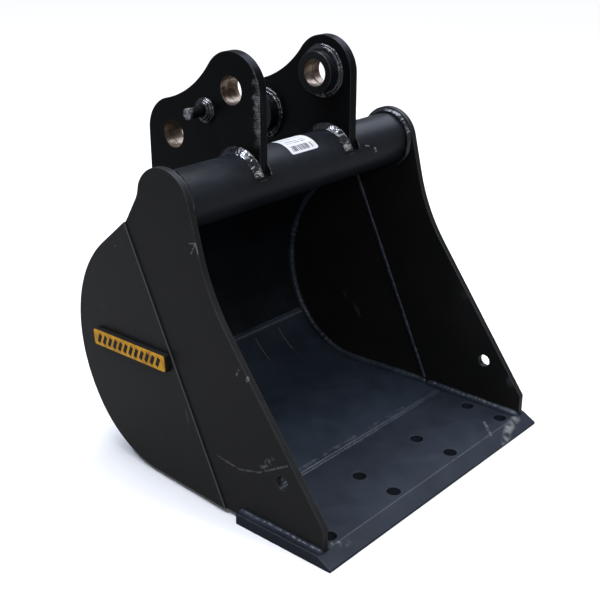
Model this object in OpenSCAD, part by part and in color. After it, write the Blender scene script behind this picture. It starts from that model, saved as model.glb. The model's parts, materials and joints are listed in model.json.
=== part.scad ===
// Excavator bucket for a small digger: welded plate, two pin ears on a torque tube,
// a bolt-on-tooth cutting edge and toed-in rear side plates.
// X runs across the bucket, the mouth faces -Y and +Z is up.
// The origin is the centre of the front pin bore, midway between the ears.

/* [Bucket body] */
// Width over the front side plates
body_w = 500; // [420:5:640]
// Height of the front pin above the underside of the cutting edge
pin_height = 555; // [520:5:620]
// Thickness of the floor and back plate
shell_t = 8; // [6:1:10]
// Thickness of the side plates
side_t = 10; // [8:1:12]
// Outside radius of the lower bend
low_bend_r = 157; // [130:1:170]
// Angle of the lower bend in degrees
low_bend = 57.5; // [52:0.5:62]
// Outside radius of the upper bend
back_bend_r = 200; // [180:1:215]
// How far inside the outer face of the top run the torque tube's axis lies
run_offset = 17.25; // [10:0.25:25]
// Where the flat floor ends, behind the front pin
floor_end_y = 34; // [20:1:50]

/* [Cutting edge] */
// Reach of the lip in front of the front pin
lip_reach = 312; // [290:1:350]
// Front-to-back depth of the cutting edge
edge_depth = 168.5; // [150:0.5:180]
// Thickness of the cutting edge
edge_t = 16; // [14:1:20]
// How far the cutting edge stands out past each side plate
edge_overhang = 10; // [6:1:16]
// Length of the sharpening bevel
bevel_len = 22; // [15:1:30]
// Height of the blunt nose
nose_h = 4; // [3:0.5:6]
// Radius of a tooth bolt hole
tooth_hole_r = 10.5; // [8:0.5:12]
// Distance of the outer teeth from the ends of the cutting edge
tooth_end = 45.5; // [35:0.5:60]
// Number of bolt-on teeth
tooth_count = 4; // [2:1:4]
// Distance from the lip to the front row of tooth holes
tooth_row_y = 39; // [32:1:45]
// Distance between the two holes of one tooth
tooth_hole_gap = 62; // [50:1:70]

/* [Side plates] */
// How far the foot of the side plate stands back from the lip
foot_setback = 20; // [10:1:30]
// Height of the upright front edge above the cutting edge
foot_h = 34; // [20:1:50]
// Slope of the lower front edge in degrees
lip_slope = 53.5; // [50:0.5:56]
// Slope of the upper front edge in degrees
neck_slope = 76; // [72:0.5:80]
// Radius of the hollow between the two slopes
throat_r = 300; // [150:5:400]
// How far the side plate's lobe stands out past the torque tube
lobe_margin = 9.25; // [9:0.25:16]
// Angle in degrees where the lobe ends at the back
lobe_end = 4; // [0:1:15]
// Radius of the hollow behind the lobe
nape_r = 30; // [15:1:40]
// Where the seam between front and rear plates meets the floor, behind the cutting edge
seam_foot = 27; // [16:0.5:45]
// Where that seam meets the top run of the back plate, up from its bend
seam_run = 72; // [60:1:80]
// How far the rear plate stands outside the front plate at the seam
seam_step = 3; // [1:0.5:4]
// Angle in degrees that the rear plates lean in
toe = 3.5; // [2:0.25:5]
// Radius of the side-cutter bolt hole
cutter_hole_r = 10; // [7:0.5:12]
// Distance of that hole behind the lip
cutter_hole_y = 91; // [80:1:110]
// Height of that hole above the ground
cutter_hole_z = 92; // [75:1:105]

/* [Torque tube] */
// Outside radius of the torque tube
tube_r = 41.25; // [36:0.25:44]
// Wall of the torque tube
tube_wall = 10; // [6:0.5:14]
// Distance of the tube axis in front of the front pin
tube_y = 12.5; // [5:0.5:20]
// Drop from the front pin to the tube axis
tube_drop = 127; // [122:1:135]

/* [Ears and pins] */
// Distance over the outer faces of the two ears
ear_span = 210; // [190:1:240]
// Thickness of an ear
ear_t = 15; // [12:1:20]
// Radius of the ear around each pin
ear_r = 53; // [48:1:56]
// Radius of the hollow between the two ear heads
saddle_r = 160; // [120:5:220]
// Distance of the rear pin behind the front pin
rear_pin_y = 119.5; // [110:0.5:130]
// Drop from the front pin to the rear pin
rear_pin_drop = 79; // [70:1:85]
// Radius of both pin bores
pin_bore_r = 20; // [15:0.5:22.5]
// Outside radius of a pin boss
boss_r = 31.5; // [29:0.5:34]
// How far a boss stands in from its ear
boss_l = 20; // [12:1:30]
// Radius of the pin-lock stub
stub_r = 8; // [6:0.5:10]
// Radius of the stub's root, which is bevelled to take the weld
stub_root_r = 6; // [4:0.5:7.5]
// Length of the pin-lock stub
stub_l = 36; // [28:1:50]
// Place of the stub behind the front pin
stub_y = 50.5; // [46:0.5:55]
// Drop from the front pin to the stub
stub_drop = 34; // [30:1:38]
// Radius of the cross hole in the stub
stub_hole_r = 2.5; // [2:0.25:3]
// Distance of the cross hole from the stub's free end
stub_hole_in = 9; // [7:1:12]

/* [Welds] */
// Leg of the welds inside the bucket
inner_weld = 8; // [5:0.5:10]
// Leg of the welds between ears and tube
ear_weld = 11; // [7:0.5:12]
// How far above the back plate these welds start, around the tube
ear_weld_lift = 24; // [16:1:30]
// Leg of the welds around the bosses
boss_weld = 8; // [5:0.5:9]
// Leg of the welds between ears and back plate
back_weld = 8; // [5:0.5:10]
// How far the weld of a side seam spreads past the step it fills
seam_spread = 2; // [1:0.5:4]
// Leg of the outer weld on the cutting edge
outer_weld = 7; // [4:0.5:8]
// Width of the flat butt welds
butt_w = 13; // [8:1:16]
// Height of the flat butt welds
butt_h = 2; // [1:0.5:3]
// Radius of the weld collar at the stub
collar_r = 19; // [14:0.5:21]
// Height of the weld collar at the stub
collar_h = 10; // [6:1:12]

/* [Badge and label] */
// Length of the badge block
badge_w = 168; // [100:1:180]
// Height of the badge block
badge_h = 27; // [20:1:40]
// Thickness of the badge block
badge_t = 9; // [5:0.5:12]
// Thickness of the coloured badge face
badge_face_t = 1; // [0.5:0.25:2]
// Black rim around the badge face
badge_rim = 1.5; // [1:0.5:4]
// Corner radius of the badge
badge_corner = 4; // [2:0.5:8]
// Middle of the badge behind the front pin
badge_y = 68; // [60:1:90]
// Height of the middle of the badge above the ground
badge_z = 198; // [170:1:240]
// Tilt of the badge in degrees, front end up
badge_tilt = 3; // [0:0.5:5]
// Length of the label on the tube
label_w = 58; // [40:1:80]
// Sideways place of the middle of the label
label_x = 3; // [-20:1:20]
// Lower edge of the label, in degrees up from the front of the tube
label_from = 44; // [20:1:50]
// Upper edge of the label, in degrees up from the front of the tube
label_to = 110; // [80:1:120]
// Thickness of the label
label_t = 0.5; // [0.3:0.1:1]

/* [Hidden] */

$fn = 96;
paint = [0.13, 0.13, 0.14];
edge_paint = [0.17, 0.19, 0.23];
weld_paint = [0.09, 0.09, 0.10];
step_angle = 2.5;
far = 400;
overcut = 1;
run_lap = 0.5;
lobe_blend = 20;
fillet_depth = 0.7;

ground = -pin_height;
edge_top = ground + edge_t;
floor_under = edge_top - shell_t;
lip_y = -lip_reach;
edge_back = lip_y + edge_depth;
side_in = body_w / 2 - side_t;
side_out = body_w / 2;
rear_in = side_in + seam_step;
ear_out = ear_span / 2;
ear_in = ear_out - ear_t;
lobe_r = tube_r + lobe_margin;
tooth_pitch = (body_w + 2 * (edge_overhang - tooth_end)) / (tooth_count - 1);
butt_top = butt_w / 2;
tube_c = [-tube_y, -tube_drop];
rear_pin = [rear_pin_y, -rear_pin_drop];

// The shell's outer face: floor, lower bend, upper bend, then a straight run that passes
// run_offset outside the tube's axis.
low_c = [floor_end_y, floor_under + low_bend_r];
low_end = low_c + low_bend_r * [sin(low_bend), -cos(low_bend)];
back_c = low_end - back_bend_r * [sin(low_bend), -cos(low_bend)];
run_angle = 90 + heading(tube_c - back_c) - acos((back_bend_r - run_offset) / norm(tube_c - back_c));
back_bend = run_angle - low_bend;
run_start = back_c + back_bend_r * [sin(run_angle), -cos(run_angle)];
run_dir = [cos(run_angle), sin(run_angle)];
run_normal = [sin(run_angle), -cos(run_angle)];
run_len = (tube_c - run_start) * run_dir;
run_to_tube = run_len - sqrt(pow(tube_r, 2) - pow(run_offset, 2));
ear_foot_len = run_to_tube - ear_weld;
// The ear welds end where the ear's front edge meets the tube.
ear_weld_from = heading(on_run(run_to_tube, 0) - tube_c) + ear_weld_lift / tube_r * 180 / PI;
ear_weld_sweep = 180 - acos(min(1, (ear_r - tube_y) / tube_r)) - ear_weld_from;

// The seam between a front and a rear side plate.
seam_top = run_start + seam_run * run_dir;
seam_bottom = [edge_back + seam_foot, floor_under];
seam_dir = (seam_top - seam_bottom) / norm(seam_top - seam_bottom);
seam_back = [seam_dir[1], -seam_dir[0]];
seam_at_edge_top = seam_bottom + seam_dir * shell_t / seam_dir[1];

function polar(c, r, a) = c + r * [cos(a), sin(a)];
function arc(c, r, a0, a1) =
    let (n = ceil(abs(a1 - a0) / step_angle))
    [for (i = [0:n]) polar(c, r, a0 + (a1 - a0) * i / n)];
function heading(v) = atan2(v[1], v[0]);
function turn(a) = a > 180 ? a - 360 : a < -180 ? a + 360 : a;

// Points that round the corner b between a and c with radius r.
function corner(a, b, c, r) =
    let (u = (a - b) / norm(a - b),
         v = (c - b) / norm(c - b),
         half = acos(u * v) / 2,
         centre = b + (u + v) / norm(u + v) * r / sin(half),
         from = heading(b + u * r / tan(half) - centre),
         to = heading(b + v * r / tan(half) - centre))
    arc(centre, r, from, from + turn(to - from));

function on_run(u, n) = run_start + u * run_dir + n * run_normal;

// The shell's profile at height n over its outer face, from y0 on the floor to run on the top run.
function shell_line(n, y0, run) = concat(
    [[y0, floor_under - n]],
    arc(low_c, low_bend_r + n, -90, low_bend - 90),
    arc(back_c, back_bend_r + n, low_bend - 90, run_angle - 90),
    [on_run(run, n)]
);

function reversed(v) = [for (i = [len(v) - 1:-1:0]) v[i]];

// Where the line through p along u crosses the line through q along v.
function crossing(p, u, q, v) =
    let (d = q - p)
    p + u * (d[0] * v[1] - d[1] * v[0]) / (u[0] * v[1] - u[1] * v[0]);

// Extrudes a (Y, Z) outline along X, starting at x.
module across(x, length) {
    translate([x, 0, 0]) rotate([90, 0, 90]) linear_extrude(length) children();
}

module both_sides() {
    children();
    mirror([1, 0, 0]) children();
}

module side(s) {
    if (s > 0) children();
    else mirror([1, 0, 0]) children();
}

// Leans what is built against the rear plate's inner face in by the toe angle.
module toed() {
    pivot = [rear_in, seam_bottom[0], seam_bottom[1]];
    translate(pivot) rotate(a = toe, v = [0, seam_dir[0], seam_dir[1]]) translate(-pivot)
        children();
}

// The next four carry an (X, outward) section along one stretch of the shell's outer face.
module along_floor(y0, y1) {
    translate([0, y0, floor_under]) rotate([-90, 0, 0]) linear_extrude(y1 - y0) children();
}

module along_bend(c, r, start, sweep) {
    translate([0, c[0], c[1]]) rotate([90, 0, 90]) rotate([0, 0, start - 90])
        rotate_extrude(angle = sweep, $fn = 180) translate([r, 0]) mirror([1, -1, 0]) children();
}

module along_low_bend() {
    along_bend(low_c, low_bend_r, 0, low_bend) children();
}

module along_back_bend() {
    along_bend(back_c, back_bend_r, low_bend, back_bend) children();
}

// The run laps the end of the bend a little, so that the two are one piece.
module along_run(length) {
    translate([0, run_start[0], run_start[1]]) rotate([run_angle - 90, 0, 0])
        translate([0, 0, -run_lap]) linear_extrude(length + run_lap) children();
}

module sheet() {
    translate([-side_out, -shell_t]) square([2 * side_out, shell_t]);
}

// Everything outside the two side plates' inner faces. The two parts overlap at the seam.
module beyond_sides() {
    low = seam_bottom - seam_dir * far;
    high = seam_top + seam_dir * far;
    lap = seam_back * side_t;
    both_sides() {
        across(side_in, far) polygon([low, high, high - seam_back * far, low - seam_back * far]);
        toed() across(rear_in, far)
            polygon([low - lap, high - lap, high + seam_back * far, low + seam_back * far]);
    }
}

module tube_solid() {
    translate([-side_in, tube_c[0], tube_c[1]]) rotate([0, 90, 0])
        cylinder(r = tube_r, h = 2 * side_in);
}

// A ring of triangular weld around an X axis: leg w out from radius r and l along X.
module ring_weld(c, r, x, w, l, a0 = 0, sweep = 360) {
    translate([x, c[0], c[1]]) rotate([90, 0, 90]) rotate([0, 0, a0]) rotate_extrude(angle = sweep)
        polygon([[r, 0], [r + w, 0], [r, l]]);
}

module x_hole(c, r, x0, x1) {
    translate([x0 - overcut, c[0], c[1]]) rotate([0, 90, 0])
        cylinder(r = r, h = x1 - x0 + 2 * overcut);
}

module cutting_edge() {
    color(edge_paint) difference() {
        across(-side_out - edge_overhang, body_w + 2 * edge_overhang) polygon([
            [lip_y, ground], [edge_back, ground], [edge_back, edge_top],
            [lip_y + bevel_len, edge_top], [lip_y, ground + nose_h]
        ]);
        for (i = [0:tooth_count - 1], row = [0, 1])
            translate([
                (i - (tooth_count - 1) / 2) * tooth_pitch,
                lip_y + tooth_row_y + row * tooth_hole_gap,
                ground - overcut
            ]) cylinder(r = tooth_hole_r, h = edge_t + 2 * overcut);
    }
}

module floor_shell() {
    color(edge_paint) difference() {
        union() {
            along_floor(edge_back, floor_end_y) sheet();
            along_low_bend() sheet();
        }
        beyond_sides();
    }
}

module back_shell() {
    color(paint) difference() {
        union() {
            along_back_bend() sheet();
            along_run(run_len) sheet();
        }
        beyond_sides();
        tube_solid();
    }
}

module side_plate_front(s) {
    foot = [lip_y + foot_setback, edge_top];
    foot_top = foot + [0, foot_h];
    lobe_start = polar(tube_c, lobe_r, neck_slope + 90);
    throat = crossing(foot_top, polar([0, 0], 1, lip_slope), lobe_start, polar([0, 0], 1, neck_slope));
    nape = polar(tube_c, lobe_r, lobe_end);
    lobe_side = polar(tube_c, lobe_r, lobe_end + lobe_blend);
    outline = concat(
        [[edge_back, edge_top], foot, foot_top],
        corner(foot_top, throat, lobe_start, throat_r),
        arc(tube_c, lobe_r, neck_slope + 90, lobe_end + lobe_blend),
        corner(lobe_side, nape, seam_top, nape_r),
        [seam_top, seam_bottom, [edge_back, floor_under]]
    );
    hole = [lip_y + cutter_hole_y, ground + cutter_hole_z];
    color(paint) side(s) difference() {
        across(side_in, side_t) polygon(outline);
        x_hole(hole, cutter_hole_r, side_in, side_out);
    }
}

module side_plate_rear(s) {
    color(paint) side(s) toed() across(rear_in, side_t)
        polygon(shell_line(0, seam_bottom[0], seam_run));
}

module torque_tube() {
    color(paint) difference() {
        tube_solid();
        x_hole(tube_c, tube_r - tube_wall, -side_in, side_in);
    }
}

module ear(s) {
    gap = norm(rear_pin);
    across_dir = rear_pin / gap;
    up_dir = [-across_dir[1], across_dir[0]];
    rise = sqrt(pow(ear_r + saddle_r, 2) - pow(gap / 2, 2));
    saddle_c = rear_pin / 2 + rise * up_dir;
    front_tangent = heading(saddle_c);
    rear_tangent = heading(saddle_c - rear_pin);
    outline = concat(
        [tube_c, [-ear_r, tube_c[1]]],
        arc([0, 0], ear_r, 180, front_tangent),
        arc(saddle_c, saddle_r, front_tangent + 180, rear_tangent + 180),
        arc(rear_pin, ear_r, rear_tangent, 0),
        [[rear_pin_y + ear_r, back_c[1]], [rear_pin_y, back_c[1]]]
    );
    color(paint) side(s) difference() {
        across(ear_in, ear_t) polygon(outline);
        tube_solid();
        x_hole(back_c, back_bend_r, ear_in, ear_out);
        along_run(run_len) translate([0, -far]) square([side_in, far]);
        x_hole([0, 0], pin_bore_r, ear_in, ear_out);
        x_hole(rear_pin, pin_bore_r, ear_in, ear_out);
    }
}

module boss(c, s) {
    color(paint) side(s) difference() {
        translate([ear_in - boss_l, c[0], c[1]]) rotate([0, 90, 0]) cylinder(r = boss_r, h = boss_l);
        x_hole(c, pin_bore_r, ear_in - boss_l, ear_in);
    }
}

module weld_boss(c, s) {
    color(weld_paint) side(s) mirror([1, 0, 0])
        ring_weld(c, boss_r, -ear_in, boss_weld, boss_weld);
}

module pin_lock_stub() {
    color(paint) difference() {
        translate([-ear_out - stub_l, stub_y, -stub_drop]) rotate([0, 90, 0]) {
            cylinder(r = stub_r, h = stub_l - collar_h);
            translate([0, 0, stub_l - collar_h]) cylinder(r1 = stub_r, r2 = stub_root_r, h = collar_h);
        }
        translate([-ear_out - stub_l + stub_hole_in, stub_y, -stub_drop - stub_r - overcut])
            cylinder(r = stub_hole_r, h = 2 * (stub_r + overcut));
    }
}

module weld_stub() {
    color(weld_paint) translate([-ear_out, stub_y, -stub_drop]) rotate([0, -90, 0]) rotate_extrude()
        polygon([[stub_root_r, 0], [collar_r, 0], [stub_r, collar_h]]);
}

module badge_outline(inset) {
    w = badge_w - 2 * inset;
    h = badge_h - 2 * inset;
    r = badge_corner - inset / 2;
    translate([badge_y, ground + badge_z]) rotate(-badge_tilt) hull()
        for (i = [-1, 1], j = [-1, 1])
            translate([i * (w / 2 - r), j * (h / 2 - r)]) circle(r = r, $fn = 32);
}

module badge_block() {
    color([0.05, 0.05, 0.05]) side(-1) toed()
        across(rear_in + side_t, badge_t - badge_face_t) badge_outline(0);
}

module badge_face() {
    color([0.95, 0.75, 0.1]) side(-1) toed()
        across(rear_in + side_t + badge_t - badge_face_t, badge_face_t) badge_outline(badge_rim);
}

module tube_label() {
    color("white") translate([label_x - label_w / 2, tube_c[0], tube_c[1]]) rotate([90, 0, 90])
        rotate([0, 0, 180 - label_to]) rotate_extrude(angle = label_to - label_from)
            translate([tube_r, 0]) square([label_t, label_w]);
}

module weld_edge_floor() {
    color(weld_paint) across(-side_in + inner_weld, 2 * (side_in - inner_weld)) polygon([
        [edge_back - butt_w / 2, edge_top], [edge_back + butt_w / 2, edge_top],
        [edge_back + butt_top / 2, edge_top + butt_h], [edge_back - butt_top / 2, edge_top + butt_h]
    ]);
}

// A shallow bead on the inside face where the floor plate and the back plate meet.
module weld_shell_joint() {
    r = low_bend_r - shell_t;
    a = low_bend - 90;
    half_angle = butt_top / 2 / r * 180 / PI;
    behind_seam = (polar(low_c, r, a) - seam_bottom) * seam_back;
    half_w = rear_in - behind_seam * tan(toe) - inner_weld;
    color(weld_paint) across(-half_w, 2 * half_w) polygon([
        polar(low_c, r, a - half_angle), polar(low_c, r, a + half_angle),
        polar(low_c, r - butt_h / 2, a + half_angle / 2),
        polar(low_c, r - butt_h / 2, a - half_angle / 2)
    ]);
}

module weld_edge_inner(s) {
    color(weld_paint) side(s)
        translate([0, lip_y + foot_setback, edge_top]) rotate([-90, 0, 0])
        linear_extrude(seam_at_edge_top[0] - lip_y - foot_setback) polygon([
            [side_in, 0], [side_in - inner_weld, 0], [side_in, -inner_weld]
        ]);
}

module weld_edge_outer(s) {
    color(weld_paint) side(s)
        translate([0, lip_y + foot_setback, edge_top]) rotate([-90, 0, 0])
        linear_extrude(edge_depth - foot_setback) polygon([
            [side_out, 0], [side_out + outer_weld, 0], [side_out, -outer_weld]
        ]);
}

// A band along the shell's inside corner, as wide as a fillet of the same section.
module weld_shell_side(s) {
    w = inner_weld * fillet_depth;
    y0 = seam_at_edge_top[0];
    run = seam_run - inner_weld;
    band = concat(shell_line(-shell_t, y0, run), reversed(shell_line(-shell_t - w, y0, run)));
    color(weld_paint) side(s) toed() across(rear_in - w, w) polygon(band);
}

// Fills the inside step between a front and a rear side plate, from the weld along the floor up.
module weld_side_seam(s) {
    leg = seam_step + seam_spread;
    start = (fillet_depth * inner_weld + leg * seam_dir[0]) / seam_dir[1];
    length = norm(seam_top - seam_at_edge_top) - inner_weld - shell_t - start;
    color(weld_paint) side(s)
        translate([0, seam_at_edge_top[0], seam_at_edge_top[1]])
        rotate([heading(seam_dir) - 90, 0, 0]) translate([0, 0, start]) linear_extrude(length)
        polygon([[side_in, 0], [rear_in, 0], [rear_in, leg]]);
}

module weld_tube_end(s) {
    color(weld_paint) side(s) difference() {
        mirror([1, 0, 0]) ring_weld(tube_c, tube_r, -side_in, inner_weld, inner_weld);
        along_run(run_len) translate([0, -shell_t]) square([side_out, shell_t]);
    }
}

// A bead in the corner between the tube and the face of the back plate's top run at height n.
// far_n is the plate's other face, and turn_sign is the way round the tube away from the plate.
module tube_shell_bead(n, far_n, turn_sign, w, x0, x1) {
    u = run_len - sqrt(pow(tube_r, 2) - pow(run_offset + n, 2));
    touch = heading(on_run(u, n) - tube_c);
    difference() {
        across(x0, x1 - x0) polygon([
            on_run(u - w, n), on_run(u, (n + far_n) / 2),
            polar(tube_c, tube_r, touch + turn_sign * w / tube_r * 180 / PI)
        ]);
        tube_solid();
        along_run(run_len) sheet();
    }
}

module weld_tube_shell_outer() {
    color(weld_paint) {
        tube_shell_bead(0, -shell_t, 1, back_weld, -ear_in + ear_weld, ear_in - ear_weld);
        both_sides()
            tube_shell_bead(0, -shell_t, 1, back_weld, ear_out + ear_weld, side_in - inner_weld);
    }
}

module weld_tube_shell_inner() {
    color(weld_paint)
        tube_shell_bead(-shell_t, 0, -1, inner_weld, -side_in + inner_weld, side_in - inner_weld);
}

module weld_ear_tube_outer(s) {
    color(weld_paint) side(s)
        ring_weld(tube_c, tube_r, ear_out, ear_weld, ear_weld, ear_weld_from, ear_weld_sweep);
}

module weld_ear_tube_inner(s) {
    color(weld_paint) side(s) mirror([1, 0, 0])
        ring_weld(tube_c, tube_r, -ear_in, ear_weld, ear_weld, ear_weld_from, ear_weld_sweep);
}

// A band on each face of the ear, along its foot on the back plate.
module weld_ear_shell(s) {
    w = back_weld * fillet_depth;
    ear_back = acos((rear_pin_y + ear_r - back_c[0]) / back_bend_r);
    band = concat(
        arc(back_c, back_bend_r, ear_back, run_angle - 90), [on_run(ear_foot_len, 0)],
        [on_run(ear_foot_len, w)], arc(back_c, back_bend_r + w, run_angle - 90, ear_back)
    );
    color(weld_paint) side(s) {
        across(ear_out, w) polygon(band);
        across(ear_in - w, w) polygon(band);
    }
}

cutting_edge();
floor_shell();
back_shell();
side_plate_front(-1);  // side_plate_front_left
side_plate_front(1);  // side_plate_front_right
side_plate_rear(-1);  // side_plate_rear_left
side_plate_rear(1);  // side_plate_rear_right
torque_tube();
ear(-1);  // ear_left
ear(1);  // ear_right
boss([0, 0], -1);  // boss_front_left
boss([0, 0], 1);  // boss_front_right
boss(rear_pin, -1);  // boss_rear_left
boss(rear_pin, 1);  // boss_rear_right
pin_lock_stub();
badge_block();
badge_face();
tube_label();
weld_edge_floor();
weld_shell_joint();
weld_edge_inner(-1);  // weld_edge_inner_left
weld_edge_inner(1);  // weld_edge_inner_right
weld_edge_outer(-1);  // weld_edge_outer_left
weld_edge_outer(1);  // weld_edge_outer_right
weld_shell_side(-1);  // weld_shell_side_left
weld_shell_side(1);  // weld_shell_side_right
weld_side_seam(-1);  // weld_side_seam_left
weld_side_seam(1);  // weld_side_seam_right
weld_tube_end(-1);  // weld_tube_end_left
weld_tube_end(1);  // weld_tube_end_right
weld_tube_shell_outer();
weld_tube_shell_inner();
weld_ear_tube_outer(-1);  // weld_ear_tube_outer_left
weld_ear_tube_outer(1);  // weld_ear_tube_outer_right
weld_ear_tube_inner(-1);  // weld_ear_tube_inner_left
weld_ear_tube_inner(1);  // weld_ear_tube_inner_right
weld_ear_shell(-1);  // weld_ear_shell_left
weld_ear_shell(1);  // weld_ear_shell_right
weld_boss([0, 0], -1);  // weld_boss_front_left
weld_boss([0, 0], 1);  // weld_boss_front_right
weld_boss(rear_pin, -1);  // weld_boss_rear_left
weld_boss(rear_pin, 1);  // weld_boss_rear_right
weld_stub();
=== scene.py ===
# %% [markdown]
# # A welded excavator bucket
# This bucket is flat steel plate, cut, rolled, welded and sprayed black. The frame that is loaded
# here holds every plate at its true size. This file gives the plates their softened edges, lays
# the weld beads in the corners, and paints and scuffs everything.
# Lengths are in metres. X runs along the pins, the mouth faces -Y, and Z is up.

# %% Load the frame
import json
import math
from random import Random

import bpy
from mathutils import Matrix, Vector, noise


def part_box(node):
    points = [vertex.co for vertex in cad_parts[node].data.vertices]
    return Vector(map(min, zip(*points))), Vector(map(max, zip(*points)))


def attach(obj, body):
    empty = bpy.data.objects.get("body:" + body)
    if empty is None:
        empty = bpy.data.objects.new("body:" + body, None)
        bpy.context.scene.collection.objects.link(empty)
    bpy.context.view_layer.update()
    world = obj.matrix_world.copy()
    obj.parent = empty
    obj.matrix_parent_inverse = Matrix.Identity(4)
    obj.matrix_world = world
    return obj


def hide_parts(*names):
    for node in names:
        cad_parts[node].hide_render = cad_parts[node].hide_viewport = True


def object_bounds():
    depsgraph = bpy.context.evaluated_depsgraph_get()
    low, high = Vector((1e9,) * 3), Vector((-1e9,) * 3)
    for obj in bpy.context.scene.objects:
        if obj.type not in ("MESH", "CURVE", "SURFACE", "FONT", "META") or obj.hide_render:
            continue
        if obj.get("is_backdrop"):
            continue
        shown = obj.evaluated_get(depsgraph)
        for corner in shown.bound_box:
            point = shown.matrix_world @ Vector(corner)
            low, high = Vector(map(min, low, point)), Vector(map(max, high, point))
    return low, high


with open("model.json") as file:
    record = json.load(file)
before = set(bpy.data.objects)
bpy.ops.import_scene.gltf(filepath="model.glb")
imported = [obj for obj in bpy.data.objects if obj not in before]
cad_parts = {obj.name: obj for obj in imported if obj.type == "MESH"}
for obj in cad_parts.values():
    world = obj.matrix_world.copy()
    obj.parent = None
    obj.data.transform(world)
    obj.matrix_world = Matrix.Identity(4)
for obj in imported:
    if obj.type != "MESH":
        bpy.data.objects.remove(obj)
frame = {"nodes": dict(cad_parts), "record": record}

MM = 0.001
cad_low, cad_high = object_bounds()
print("CAD box", [round(v, 3) for v in (*cad_low, *cad_high)])

# %% [markdown]
# ## Sizes read from the frame
# A piece goes where the frame says, so the pin centres come from the record's mounts, and radii
# and plate faces come from the boxes of the nodes. Only the bends of the shell are repeated here,
# because a box can't say how a plate is rolled.

# %% Measure the frame
mounts = {m["name"]: m for m in frame["record"]["mounts"]}
front_pin = Vector(mounts["pin_bore_front"]["pos_m"])
rear_pin = Vector(mounts["pin_bore_rear"]["pos_m"])
pin_r = mounts["pin_bore_front"]["dims"]["r_mm"] * MM

tube_low, tube_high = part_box("torque_tube")
tube_centre = (tube_low + tube_high) / 2
tube_r = (tube_high.z - tube_low.z) / 2
side_in = tube_high.x
side_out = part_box("side_plate_front_right")[1].x
ear_low, ear_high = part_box("ear_right")
ear_in, ear_out = ear_low.x, ear_high.x
boss_low, boss_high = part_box("boss_front_right")
boss_r = (boss_high.z - boss_low.z) / 2
edge_low, edge_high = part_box("cutting_edge")
ground = edge_low.z
edge_top = edge_high.z

shell_t = 8 * MM
floor_end_y = 34 * MM
low_bend_r = 157 * MM
low_bend = math.radians(57.5)
back_bend_r = 200 * MM
back_bend = math.radians(84.5)
seam_run = 72 * MM
seam_step = 3 * MM
toe = math.radians(3.5)
floor_under = edge_top - shell_t
print("tube radius", round(tube_r / MM, 2), "mm, ears", round(ear_in, 3), "to", round(ear_out, 3))

# %% [markdown]
# ## The studio
# A black glossy object shows its surroundings more than its own colour. A pale floor and a dim
# world keep the plates dark, and a few large soft lamps draw the long highlights along the tube
# and the sparkle on the welds. The camera stands at the left front corner, a little above.

# %% Place the camera
CAMERA_OFFSET = Vector((-1.127, -1.020, 0.288))
CAMERA_TURN = math.radians(48.8)
CAMERA_TILT = math.radians(-22.5)
CAMERA_LENS = 63.5

camera_data = bpy.data.cameras.new("camera")
camera_data.lens = CAMERA_LENS
camera_data.sensor_width = 36.0
camera = bpy.data.objects.new("camera", camera_data)
camera.location = front_pin + CAMERA_OFFSET
camera.rotation_euler = (math.pi / 2 + CAMERA_TILT, 0.0, -CAMERA_TURN)
bpy.context.scene.collection.objects.link(camera)
bpy.context.scene.camera = camera
bpy.context.scene.view_settings.view_transform = "Standard"


# %% [markdown]
# ## Helpers
# Paint codes are given as hex, which is gamma-coded, so one function turns them into the linear
# numbers that a shader needs. Every node of every material is added by one short function.

# %% Helpers for colours and nodes
def srgb(code):
    """A hex colour as linear red, green, blue and alpha."""
    parts = [int(code[i:i + 2], 16) / 255 for i in (1, 3, 5)]
    return (*[p / 12.92 if p <= 0.04045 else ((p + 0.055) / 1.055) ** 2.4 for p in parts], 1.0)


def add(tree, kind, inputs=None, give=None, **settings):
    """Adds one node, fills or links its sockets by name, and gives back one of its outputs."""
    made = tree.nodes.new("ShaderNode" + kind)
    for key, value in settings.items():
        setattr(made, key, value)
    for key, value in (inputs or {}).items():
        open_sockets = [s for s in made.inputs if s.enabled]
        socket = next(s for s in open_sockets if s.identifier == key or s.name == key)
        if isinstance(value, bpy.types.NodeSocket):
            tree.links.new(value, socket)
        else:
            socket.default_value = value
    shown = [s for s in made.outputs if s.enabled and give in (None, s.name)]
    return shown[0] if shown else None


def new_material(name):
    """An empty node material and its tree."""
    made = bpy.data.materials.new(name)
    made.use_nodes = True
    made.node_tree.nodes.clear()
    return made, made.node_tree


def eye_only(tree, dim, bright):
    """A value that is bright where the camera looks straight at it, and dim for the light it gives."""
    seen = add(tree, "LightPath", give="Is Camera Ray")
    return add(tree, "MapRange", {"Value": seen, "To Min": dim, "To Max": bright}, give="Result")


def modify(made, name, kind, **settings):
    """Adds a modifier to the active object, sets it up and applies it."""
    modifier = made.modifiers.new(name, kind)
    for key, value in settings.items():
        setattr(modifier, key, value)
    bpy.ops.object.modifier_apply(modifier=name)


# %% [markdown]
# ## Floor, backdrop and lamps
# The floor and the backdrop are white to look at, but give the plates less light than white paper
# would. The sun is a very wide one, like an overcast sky. The small lamps only make sparkle.

# %% Lay the floor and hang the lamps
FLOOR_SIZE = 60
SKY_STRENGTH = 2.9
SKY_SPREAD = math.radians(60)


def lamp(name, place, size, power, colour):
    """A square soft lamp that points at the bucket."""
    data = bpy.data.lights.new(name, "AREA")
    data.size = size
    data.energy = power
    data.color = srgb(colour)[:3]
    made = bpy.data.objects.new(name, data)
    middle = (cad_low + cad_high) / 2
    made.location = middle + Vector(place)
    made.rotation_euler = (middle - made.location).to_track_quat("-Z", "Y").to_euler()
    bpy.context.scene.collection.objects.link(made)


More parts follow.
